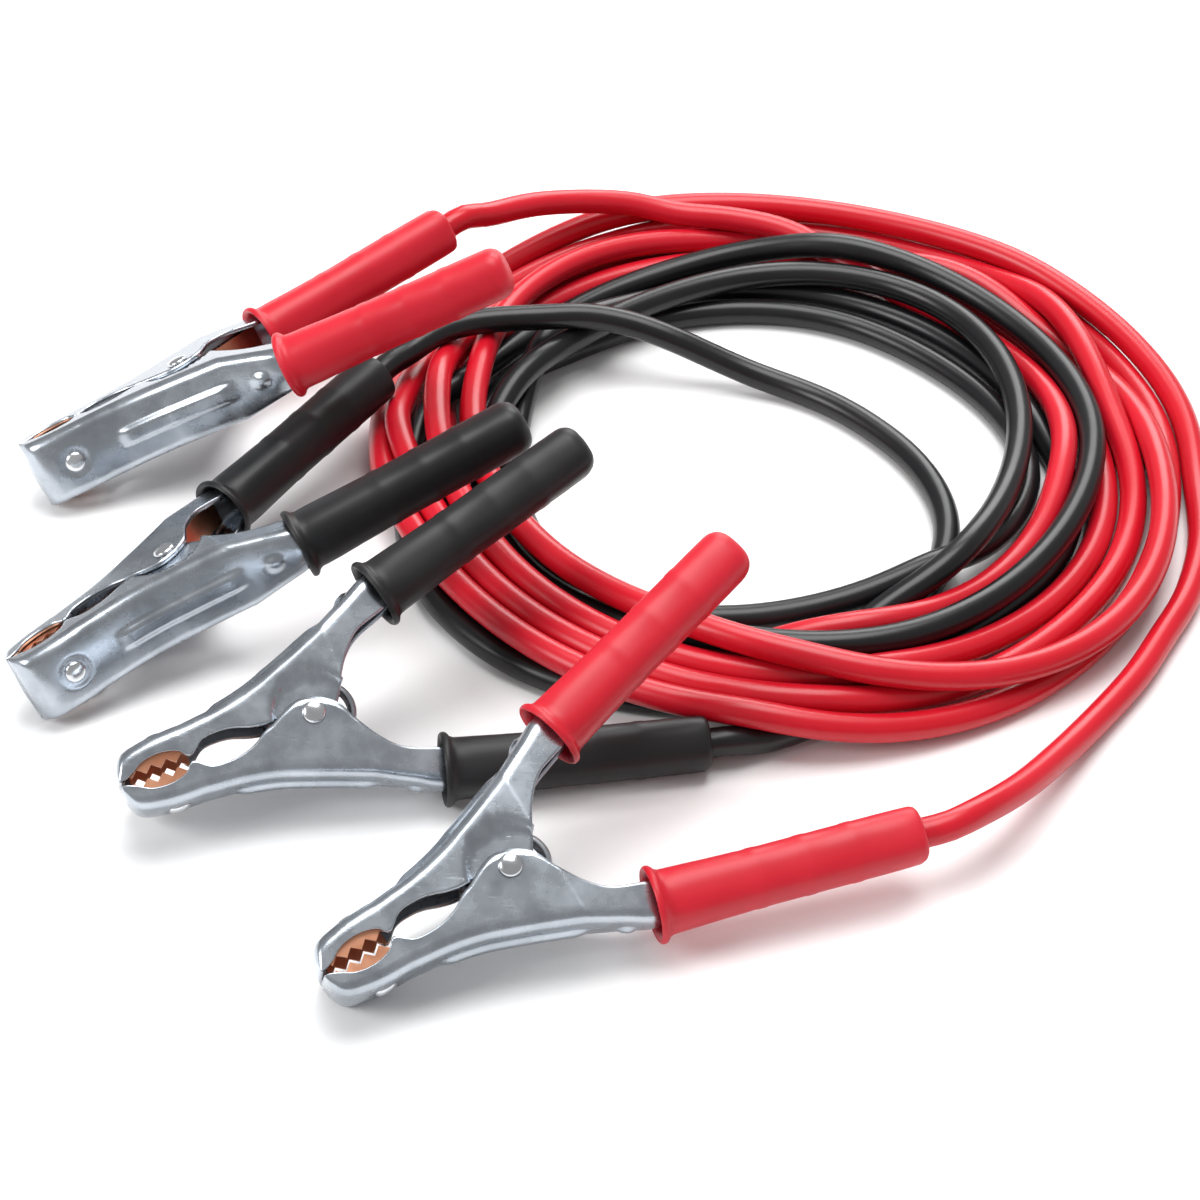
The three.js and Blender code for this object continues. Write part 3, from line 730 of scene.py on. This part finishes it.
@dataclass
class Fasteners:
    """The rivets of a clamp: one through each copper insert and one to turn on."""

    head_radius: float = 3.0
    head_height: float = 1.5
    rivet_u: float = -40.0
    web_v: float = 9.25
    tail_v: float = 6.1
    tail_radius: float = 2.4
    shank_radius: float = 1.5
    pin_radius: float = 2.2
    pin_head: float = 3.1
    pin_head_height: float = 1.4
    half_width: float = 10.25
    steps: int = 32

    def dome(self, radius: float, base: float, height: float) -> list[tuple[float, float]]:
        """Give the outline of a domed head, from its rim to its top.

        Args:
            radius: The head's radius.
            base: The height that it stands on.
            height: How tall it is.

        Returns:
            Radius and height of each point.
        """
        points = [(radius, base), (radius, base + 0.25 * height)]
        for angle in (20, 40, 55, 70, 82):
            turn = math.radians(angle)
            points.append((radius * math.cos(turn), base + 0.25 * height + 0.75 * height * math.sin(turn)))
        return points + [(0.0, base + height)]

    def insert_rivet(self, place: ClampPlace, side: Side, finish: bpy.types.Material) -> bpy.types.Object:
        """Build the rivet through a jaw and its copper insert.

        Args:
            place: The clamp.
            side: Which half.
            finish: The rivet's material.

        Returns:
            The piece, standing for its CAD node.
        """
        tail = self.tail_radius
        profile = [(0.0, self.tail_v - 0.8), (tail - 0.4, self.tail_v - 0.8)]
        profile += [(tail, self.tail_v - 0.5), (tail, self.tail_v)]
        profile += [(self.shank_radius, self.tail_v), (self.shank_radius, self.web_v)]
        profile += self.dome(self.head_radius, self.web_v, self.head_height)
        shape = turned_bmesh(profile, self.steps)
        sign = place.sign(side)
        stand = Matrix.Rotation(-sign * math.pi / 2, 4, "X")
        across = Matrix.Translation(Vector((self.rivet_u, 0, 0)) * MM)
        bmesh.ops.transform(shape, matrix=place.matrix() @ across @ stand, verts=shape.verts)
        piece = object_from_bmesh(f"{place.name}_{side.value}_insert_rivet", shape, finish)
        piece.data.set_sharp_from_angle(angle=math.radians(50))
        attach(piece, place.body(side))
        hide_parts(f"{place.name}_{side.value}_contact_rivet")
        LOG.info("%s: head of %.1f mm", piece.name, 2 * self.head_radius)
        return piece

    def pivot(self, place: ClampPlace, finish: bpy.types.Material) -> bpy.types.Object:
        """Build the pin that the halves turn on, with its two heads.

        Args:
            place: The clamp.
            finish: The rivet's material.

        Returns:
            The piece, standing for its CAD node.
        """
        under = self.half_width + 0.12
        head = self.dome(self.pin_head, under, self.pin_head_height)
        profile = [(radius, -height) for radius, height in reversed(head)] + [(self.pin_radius, -under)]
        profile += [(self.pin_radius, under)] + head
        shape = turned_bmesh(profile, self.steps)
        bmesh.ops.transform(shape, matrix=place.matrix(), verts=shape.verts)
        piece = object_from_bmesh(f"{place.name}_pivot_pin", shape, finish)
        piece.data.set_sharp_from_angle(angle=math.radians(50))
        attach(piece, ROOT_BODY)
        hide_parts(f"{place.name}_pivot_rivet")
        LOG.info("%s: head of %.1f mm", piece.name, 2 * self.pin_head)
        return piece


def tube(
    name: str, points: np.ndarray, radius: float, sides: int, finish: bpy.types.Material
) -> bpy.types.Object:
    """Make a round bar or cable along points, as a curve of one open spline.

    Args:
        name: The piece's name.
        points: The centre line, in metres.
        radius: The bar's radius, in metres.
        sides: How finely it is rounded.
        finish: Its material.

    Returns:
        The linked curve object.
    """
    curve = bpy.data.curves.new(name, "CURVE")
    curve.dimensions = "3D"
    curve.bevel_depth = radius
    curve.bevel_resolution = sides
    curve.use_fill_caps = True
    spline = curve.splines.new("POLY")
    spline.points.add(len(points) - 1)
    for point, place in zip(spline.points, points):
        point.co = (*place, 1.0)
    spline.use_smooth = True
    curve.materials.append(finish)
    piece = bpy.data.objects.new(name, curve)
    bpy.context.scene.collection.objects.link(piece)
    return piece


@dataclass
class Spring:
    """The wound spring round the pivot, with a leg towards each handle.

    It hangs loosely on the pin, so its middle lies a little way towards the handles.
    """

    wire_radius: float = 1.1
    radius: float = 7.2
    turns: float = 2.7
    half_span: float = 3.6
    leg: float = 21.6
    leg_tilt: float = 38.0
    hang: float = 3.4
    steps: int = 90

    def path(self) -> np.ndarray:
        """Draw the wire's centre line: a leg, the turns and the other leg.

        Returns:
            The points in the clamp's own frame, in millimetres.
        """
        start = math.radians(90 + self.leg_tilt)
        sweep = 2 * math.pi * self.turns
        end = start + sweep
        leg_turn = 2 * start - 2 * math.pi * round((end + start) / (2 * math.pi)) + end - start
        total = sweep - leg_turn
        points = [(
            self.radius * math.cos(start) + math.sin(start) * self.leg,
            self.radius * math.sin(start) - math.cos(start) * self.leg,
            -self.half_span,
        )]
        for i in range(self.steps + 1):
            share = i / self.steps
            angle = start + share * total
            height = -self.half_span + 2 * self.half_span * share
            points.append((self.radius * math.cos(angle), self.radius * math.sin(angle), height))
        last = start + total
        points.append((
            self.radius * math.cos(last) - math.sin(last) * self.leg,
            self.radius * math.sin(last) + math.cos(last) * self.leg,
            self.half_span,
        ))
        return np.array(points) + np.array([self.hang, 0.0, 0.0])

    def build(self, place: ClampPlace, finish: bpy.types.Material) -> bpy.types.Object:
        """Build the spring in its clamp.

        Args:
            place: The clamp.
            finish: The wire's material.

        Returns:
            The piece, standing for its CAD node.
        """
        matrix = place.matrix()
        points = np.array([matrix @ (Vector(point) * MM) for point in self.path()])
        piece = tube(f"{place.name}_spring_wire", points, self.wire_radius * MM, 3, finish)
        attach(piece, ROOT_BODY)
        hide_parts(f"{place.name}_torsion_spring")
        LOG.info("%s: %.1f turns", piece.name, self.turns)
        return piece


# Each lead between its grip and the coil, on the floor plan, in metres
LEADS = {
    "front_red": [
        (0.093, -0.102, 0.018), (0.108, -0.088, 0.0135), (0.123, -0.069, 0.008), (0.136, -0.052, 0.005),
        (0.148, -0.036, 0.0043), (0.157, -0.020, 0.0042), (0.165, -0.006, 0.0042), (0.170, 0.008, 0.0042),
        (0.173, 0.022, 0.0042),
    ],
    "front_black": [
        (0.038, -0.063, 0.0056), (0.049, -0.060, 0.0046), (0.061, -0.055, 0.0042), (0.074, -0.049, 0.0042),
    ],
    "rear_red": [
        (-0.038, 0.151, 0.028), (-0.024, 0.161, 0.026), (-0.008, 0.169, 0.022), (0.010, 0.173, 0.018),
        (0.026, 0.172, 0.013),
    ],
    "rear_black": [
        (-0.060, 0.087, 0.020), (-0.051, 0.095, 0.0215), (-0.041, 0.100, 0.0215), (-0.030, 0.102, 0.0215),
        (-0.016, 0.103, 0.0215), (-0.002, 0.104, 0.0215), (0.011, 0.102, 0.021), (0.023, 0.099, 0.0185),
        (0.035, 0.097, 0.0135), (0.048, 0.094, 0.0085), (0.062, 0.089, 0.0055), (0.074, 0.081, 0.0043),
        (0.085, 0.070, 0.0042), (0.094, 0.058, 0.0042), (0.100, 0.045, 0.0042), (0.103, 0.032, 0.0042),
        (0.103, 0.020, 0.0042), (0.100, 0.008, 0.0042),
    ],
}

# Each lap's bearing in degrees, radius and height in millimetres about the middle of the coil. The turns were
# traced by eye in the photograph, and guessed where others hide them, and a helper script worked out and
# rounded these rows from the traces.
RED_LAPS = (
    ((88, 105, 13), (75, 92, 9), (58, 86, 4.2), (30, 87, 4.2), (7, 83, 4.2), (-20, 82, 4.2), (-60, 84, 8),
     (-75, 85, 12), (-90, 90, 12), (-105, 98, 8), (-120, 104, 4.2), (-150, 106, 4.2), (-180, 103, 4.2),
     (-210, 107, 4.2), (-240, 108, 4.2), (-265, 103, 5)),
    ((60, 102, 4.5), (30, 101, 8), (6, 102, 11.5), (-16, 109, 11.5), (-30, 115, 11.5), (-45, 122, 12),
     (-58, 124, 13), (-71, 120, 16), (-81, 113, 18), (-88, 109, 19), (-95, 103, 19), (-106, 95, 19),
     (-121, 94, 18), (-137, 92, 17), (-149, 91, 16), (-178, 95, 14), (-196, 100, 13), (-213, 108, 12),
     (-225, 114, 12), (-239, 115, 12), (-254, 113, 11), (-268, 108, 6)),
    ((60, 100, 4.2), (30, 97, 4.2), (4, 96, 4.2), (-26, 96, 4.2), (-45, 94, 4.2), (-64, 92, 5), (-76, 97, 8),
     (-90, 107, 12), (-104, 107, 13), (-123, 105, 12), (-140, 103, 11.5), (-149, 105, 11), (-180, 103, 11.3),
     (-194, 110, 10), (-215, 113, 4.2), (-240, 112, 4.2), (-268, 114, 4.2)),
    ((60, 108, 5), (35, 103, 10), (11, 99, 11), (-14, 104, 8), (-37, 105, 5), (-61, 106, 5), (-75, 113, 7),
     (-88, 116, 8), (-105, 110, 9), (-124, 109, 8), (-148, 109, 8), (-182, 109, 8), (-196, 119, 7),
     (-215, 121, 4.2), (-240, 121, 4.2), (-268, 122, 4.2)),
    ((60, 116, 4.2), (30, 111, 4.2), (0, 108, 4.2), (-30, 113, 4.2), (-45, 117, 4.2), (-62, 120, 4.2),
     (-81, 126, 7), (-102, 123, 11), (-123, 120, 11.3), (-146, 115, 11), (-181, 117, 9), (-195, 127, 8),
     (-224, 125, 9), (-235, 126, 10), (-245, 124, 11), (-268, 120, 11)),
    ((81, 118, 11), (64, 112, 11), (46, 110, 11), (27, 112, 9), (9, 115, 6), (-6, 116, 4.2)),
)
BLACK_LAPS = (
    ((-75, 84, 4.2), (-100, 106, 4.2), (-125, 123, 4.2), (-148, 125, 4.2), (-180, 112, 4.2), (-205, 98, 8),
     (-225, 92, 12), (-243, 92, 13), (-267, 95, 16)),
    ((77, 97, 17), (52, 93, 16), (32, 90, 13), (12, 88, 12), (-7, 86, 12), (-27, 84, 12), (-52, 89, 12),
     (-73, 89, 12), (-91, 90, 11), (-110, 95, 7), (-130, 97, 4.2), (-155, 97, 4.2), (-180, 95, 4.2),
     (-205, 88, 6), (-232, 78, 10), (-255, 79, 12)),
    ((86, 82, 13), (66, 84, 13), (45, 80, 13), (20, 71, 12), (-18, 64, 12), (-48, 68, 12), (-70, 75, 9),
     (-95, 100, 4.2), (-126, 117, 4.2), (-148, 118, 4.2), (-175, 104, 4.2), (-208, 88, 5), (-244, 78, 5),
     (-264, 71, 5)),
    ((70, 70, 5), (59, 63, 4.2), (35, 64, 4.2), (12, 68, 4.2), (-5, 72, 4.2), (-27, 69, 5), (-54, 71, 5),
     (-96, 73, 5), (-110, 80, 4.2), (-130, 90, 4.2), (-155, 90, 4.2), (-180, 88, 4.2), (-210, 90, 5),
     (-245, 88, 4.2)),
    ((78, 82, 4.2), (59, 78, 4.2), (30, 77, 4.2), (6, 78, 4.2), (-20, 86, 4.2), (-36, 90, 4.2),
     (-59, 89, 4.2), (-75, 100, 4.2)),
)


@dataclass
class LooseCoil:
    """Both cables, coiled together turn on turn and settled under their own weight."""

    centre: tuple[float, float] = (58.0, 61.0)
    spacing: float = 4.0
    contact: float = 8.35
    floor_height: float = 4.05
    settling_steps: int = 400
    sink: float = 0.12
    hold: float = 0.03
    sight_slope: float = 1.11
    held_points: int = 2
    easing_points: int = 6
    hanging_points: int = 28
    sleeve_contact: float = 11.8
    bearing_step: float = 10.0
    smoothing_passes: int = 5
    straight_run: float = 8.0
    pair_margin: float = 4.0
    own_points: int = 8
    steps_between_searches: int = 8
    sinking_share: float = 0.8
    passes: int = 3
    push: float = 0.25
    spread: float = 0.35
    fairing: float = 0.06

    def turns(self, laps: tuple) -> np.ndarray:
        """Turn a cable's laps into points.

        Args:
            laps: Each lap's stations of bearing, radius and height.

        Returns:
            Points every ten degrees, on the floor plan in millimetres.
        """
        stations = np.array([
            (bearing - 360 * lap, radius, height)
            for lap, entries in enumerate(laps)
            for bearing, radius, height in entries
        ])
        count = int((stations[0, 0] - stations[-1, 0]) / self.bearing_step) + 1
        bearings = np.linspace(stations[0, 0], stations[-1, 0], count)
        radii = np.interp(-bearings, -stations[:, 0], stations[:, 1])
        heights = np.interp(-bearings, -stations[:, 0], stations[:, 2])
        for line in (radii, heights):
            for _ in range(self.smoothing_passes):
                line[1:-1] = 0.25 * line[:-2] + 0.5 * line[1:-1] + 0.25 * line[2:]
        angles = np.radians(bearings)
        across = self.centre[0] + radii * np.cos(angles)
        away = self.centre[1] + radii * np.sin(angles)
        return np.stack([across, away, heights], axis=1)

    def grip_point(self, place: ClampPlace, run: float) -> np.ndarray:
        """Give a point on the centre line of a clamp's cable grip.

        Args:
            place: The clamp.
            run: Millimetres along the grip from its rim.

        Returns:
            The point on the floor plan, in millimetres.
        """
        u, v = handle_point(run, 0.0)
        point = place.matrix() @ (Vector((u, place.cable_side * v, 0)) * MM)
        return np.array((point - PLAN_ORIGIN) / MM)

    def route(self, first: ClampPlace, last: ClampPlace, laps: tuple) -> np.ndarray:
        """Draw a cable from grip to grip.

        Args:
            first: The clamp that it starts in.
            last: The clamp that it ends in.
            laps: The laps between them.

        Returns:
            Evenly spaced points, on the floor plan in millimetres.
        """
        leave = GRIP_LENGTH + 0.3
        straight = GRIP_LENGTH + self.straight_run
        points = [self.grip_point(first, leave), self.grip_point(first, straight)]
        points += [np.array(point) / MM for point in LEADS[first.name]]
        points += list(self.turns(laps))
        points += [np.array(point) / MM for point in reversed(LEADS[last.name])]
        points += [self.grip_point(last, straight), self.grip_point(last, leave)]
        rough = catmull_rom(np.array(points), 12 * len(points))
        return catmull_rom(np.array(points), int(line_length(rough) / self.spacing))

    def near_pairs(self, points: np.ndarray, strand: np.ndarray) -> np.ndarray:
        """List the pairs of points that may touch.

        Args:
            points: All the cables' points.
            strand: Which cable each point is on.

        Returns:
            Rows of two indices.
        """
        flat = points.astype(np.float32)
        square = (flat * flat).sum(axis=1)
        distance = square[:, None] + square[None, :] - 2 * flat @ flat.T
        first, second = np.nonzero(np.triu(distance < (self.contact + self.pair_margin) ** 2, k=1))
        apart = (strand[first] != strand[second]) | (np.abs(first - second) >= self.own_points)
        return np.stack([first[apart], second[apart]], axis=1)

    def settle(self, cables: list[np.ndarray], sleeve: tuple[np.ndarray, np.ndarray]) -> list[np.ndarray]:
        """Let the cables sink onto the floor and onto each other, without passing through.

        Args:
            cables: Each cable's points.
            sleeve: Both ends of the centre line of a grip that the turns pass under.

        Returns:
            Each cable's settled points.
        """
        start = np.vstack(cables)
        points = start.copy()
        ends = np.cumsum([0] + [len(cable) for cable in cables])
        strand = np.repeat(np.arange(len(cables)), [len(cable) for cable in cables])
        free = np.zeros(len(points))
        sinking = np.zeros(len(points))
        for low, high in zip(ends, ends[1:]):
            index = np.arange(low, high)
            from_end = np.minimum(index - low, high - 1 - index)
            free[low:high] = np.clip((from_end - self.held_points) / self.easing_points, 0, 1)
            sinking[low:high] = np.clip((from_end - self.held_points) / self.hanging_points, 0, 1)
        for step in range(self.settling_steps):
            if step % self.steps_between_searches == 0:
                pairs = self.near_pairs(points, strand)
            if step < self.sinking_share * self.settling_steps:
                points[:, 2] -= self.sink * sinking
                points[:, 0] += (start[:, 0] - points[:, 0]) * self.hold * free
                sight = start[:, 1] - self.sight_slope * (points[:, 2] - start[:, 2])
                points[:, 1] += (sight - points[:, 1]) * self.hold * free
            for _ in range(self.passes):
                points = self.part(points, pairs, free)
                points = self.clear_sleeve(points, sleeve, free)
                raised = np.maximum(points[:, 2], self.floor_height)
                points[:, 2] = np.where(free > 0, raised, points[:, 2])
                points = self.fair(points, start, ends, free)
        return [points[low:high] for low, high in zip(ends, ends[1:])]

    def part(self, points: np.ndarray, pairs: np.ndarray, free: np.ndarray) -> np.ndarray:
        """Push touching points apart.

        Args:
            points: All the points.
            pairs: Pairs that may touch.
            free: How freely each point moves, 0 to 1.

        Returns:
            The moved points.
        """
        gap = points[pairs[:, 0]] - points[pairs[:, 1]]
        distance = np.linalg.norm(gap, axis=1) + 1e-9
        near = distance < self.contact
        first, second = pairs[near, 0], pairs[near, 1]
        short = (self.contact - distance[near]) * self.push
        push = gap[near] / distance[near][:, None] * short[:, None]
        move = np.zeros_like(points)
        count = np.zeros(len(points))
        np.add.at(move, first, push * free[first][:, None])
        np.add.at(move, second, -push * free[second][:, None])
        np.add.at(count, first, 1)
        np.add.at(count, second, 1)
        return points + move / np.maximum(1, count * 0.5)[:, None]

    def clear_sleeve(
        self, points: np.ndarray, sleeve: tuple[np.ndarray, np.ndarray], free: np.ndarray
    ) -> np.ndarray:
        """Push points out of the grip that lies over the turns.

        Args:
            points: All the points.
            sleeve: Both ends of the grip's centre line.
            free: How freely each point moves, 0 to 1.

        Returns:
            The moved points.
        """
        low, high = sleeve
        axis = high - low
        share = np.clip((points - low) @ axis / (axis @ axis), 0, 1)
        gap = points - (low + share[:, None] * axis)
        distance = np.linalg.norm(gap, axis=1) + 1e-9
        inside = (distance < self.sleeve_contact) & (free > 0.5)
        share_out = 0.5 * (self.sleeve_contact / distance[inside] - 1.0)
        points[inside] += gap[inside] * share_out[:, None]
        return points

    def fair(self, points: np.ndarray, start: np.ndarray, ends: np.ndarray, free: np.ndarray) -> np.ndarray:
        """Spread each push along the cable, as its stiffness does.

        Args:
            points: All the points.
            start: Where they started.
            ends: Where each cable starts and ends in the list.
            free: How freely each point moves, 0 to 1.

        Returns:
            The faired points.
        """
        moved = points - start
        for low, high in zip(ends, ends[1:]):
            run = moved[low:high]
            bend = np.zeros_like(run)
            bend[1:-1] = 0.5 * (run[:-2] + run[2:]) - run[1:-1]
            run += self.spread * bend * free[low:high][:, None]
        points = start + moved
        for low, high in zip(ends, ends[1:]):
            for _ in range(self.passes):
                run = points[low:high]
                kink = np.zeros_like(run)
                kink[2:-2] = run[:-4] - 4 * run[1:-3] + 6 * run[2:-2] - 4 * run[3:-1] + run[4:]
                run -= self.fairing * kink * free[low:high][:, None]
        return points

    def build(self, finishes: dict[str, bpy.types.Material]) -> None:
        """Args:
            finishes: The materials by slot.
        """
        front_red, front_black, rear_red, rear_black = CLAMPS
        red = self.route(rear_red, front_red, RED_LAPS)
        black = self.route(rear_black, front_black, BLACK_LAPS)
        sleeve = (self.grip_point(rear_black, 0.0), self.grip_point(rear_black, GRIP_LENGTH - 2.0))
        red, black = self.settle([red, black], sleeve)
        for name, line, slot, starts, stops in (
            ("red_cable", red, "red_pvc", rear_red, front_red),
            ("black_cable", black, "black_pvc", rear_black, front_black),
        ):
            points = line * MM + np.array(PLAN_ORIGIN)
            piece = tube(name, points, CABLE_RADIUS * MM, 5, finishes[slot])
            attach(piece, ROOT_BODY)
            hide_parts("cable_coil", f"{starts.name}_lead", f"{stops.name}_lead")


@dataclass
class Studio:
    """The pale floor, the soft lights and the camera."""

    floor_size: float = 6.0
    target: tuple[float, float, float] = (0.044203, 0.005567, 0.0)

    def floor(self) -> None:
        """Lay a plain pale floor."""
        shape = bmesh.new()
        bmesh.ops.create_grid(shape, x_segments=1, y_segments=1, size=self.floor_size / 2)
        finish = bpy.data.materials.new("pale_floor")
        finish.use_nodes = True
        shader = finish.node_tree.nodes["Principled BSDF"]
        node_input(shader, "Base Color", (0.92, 0.92, 0.92, 1.0))
        node_input(shader, "Roughness", 0.75)
        node_input(shader, "Specular IOR Level", 0.2)
        object_from_bmesh("floor", shape, finish)

    def light(self, name: str, place: tuple[float, float, float], size: float, power: float) -> None:
        """Hang one soft square light that faces the object.

        Args:
            name: The light's name.
            place: Where it hangs.
            size: Its side.
            power: Its power in watts.
        """
        data = bpy.data.lights.new(name, "AREA")
        data.size = size
        data.energy = power
        lamp = bpy.data.objects.new(name, data)
        lamp.location = place
        towards = Vector(self.target) - Vector(place)
        lamp.rotation_euler = towards.to_track_quat("-Z", "Y").to_euler()
        bpy.context.scene.collection.objects.link(lamp)

    def sky(self) -> None:
        """Give the surroundings an even pale light."""
        world = bpy.data.worlds.new("pale_surroundings")
        world.use_nodes = True
        node_input(world.node_tree.nodes["Background"], "Color", (1.0, 1.0, 1.0, 1.0))
        node_input(world.node_tree.nodes["Background"], "Strength", 0.42)
        bpy.context.scene.world = world

    def camera(self) -> None:
        """Stand the camera where the photograph was taken from."""
        data = bpy.data.cameras.new("camera")
        data.lens = CAMERA_LENS
        data.sensor_width = 36.0
        camera = bpy.data.objects.new("camera", data)
        back = CAMERA_DISTANCE * math.cos(CAMERA_ELEVATION)
        up = CAMERA_DISTANCE * math.sin(CAMERA_ELEVATION)
        camera.location = Vector(self.target) + Vector((0.0, -back, up))
        camera.rotation_euler = (math.pi / 2 - CAMERA_ELEVATION, 0.0, 0.0)
        bpy.context.scene.collection.objects.link(camera)
        bpy.context.scene.camera = camera

    def build(self) -> None:
        """Set up the floor, lights, surroundings and camera."""
        self.floor()
        self.light("top_softbox", (0.1, 0.25, 1.3), 0.9, 18.0)
        self.light("left_softbox", (-1.1, -0.5, 0.9), 0.6, 11.0)
        self.light("back_softbox", (0.4, 1.3, 0.8), 0.8, 12.0)
        self.sky()
        self.camera()
        bpy.context.scene.view_settings.view_transform = "Standard"


def dress_cad_nodes(finishes: dict[str, bpy.types.Material]) -> None:
    """Give the CAD nodes that stay in view their finish.

    Args:
        finishes: The materials by slot.
    """
    for name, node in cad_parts.items():
        if name.endswith(("_contact", "_strap")):
            node.data.materials.clear()
            node.data.materials.append(finishes["copper"])
            LOG.info("%s: copper", name)


def main() -> None:
    """Build every piece in order."""
    logging.basicConfig(level=logging.INFO, format="%(message)s")
    effects = Effects()
    finishes = {slot: finish.material(effects) for slot, finish in FINISHES.items()}
    Studio().build()
    LooseCoil().build(finishes)
    dress_cad_nodes(finishes)
    jaw, grip, fasteners, spring = JawHalf(), Grip(), Fasteners(), Spring()
    for place in CLAMPS:
        for side in Side:
            jaw.build(place, side, finishes["zinc_steel"])
            grip.build(place, side, finishes[f"{place.colour}_grip"])
            fasteners.insert_rivet(place, side, finishes["rivet_steel"])
        fasteners.pivot(place, finishes["rivet_steel"])
        spring.build(place, finishes["spring_steel"])
    bpy.context.view_layer.update()


if __name__ == "__main__":
    main()
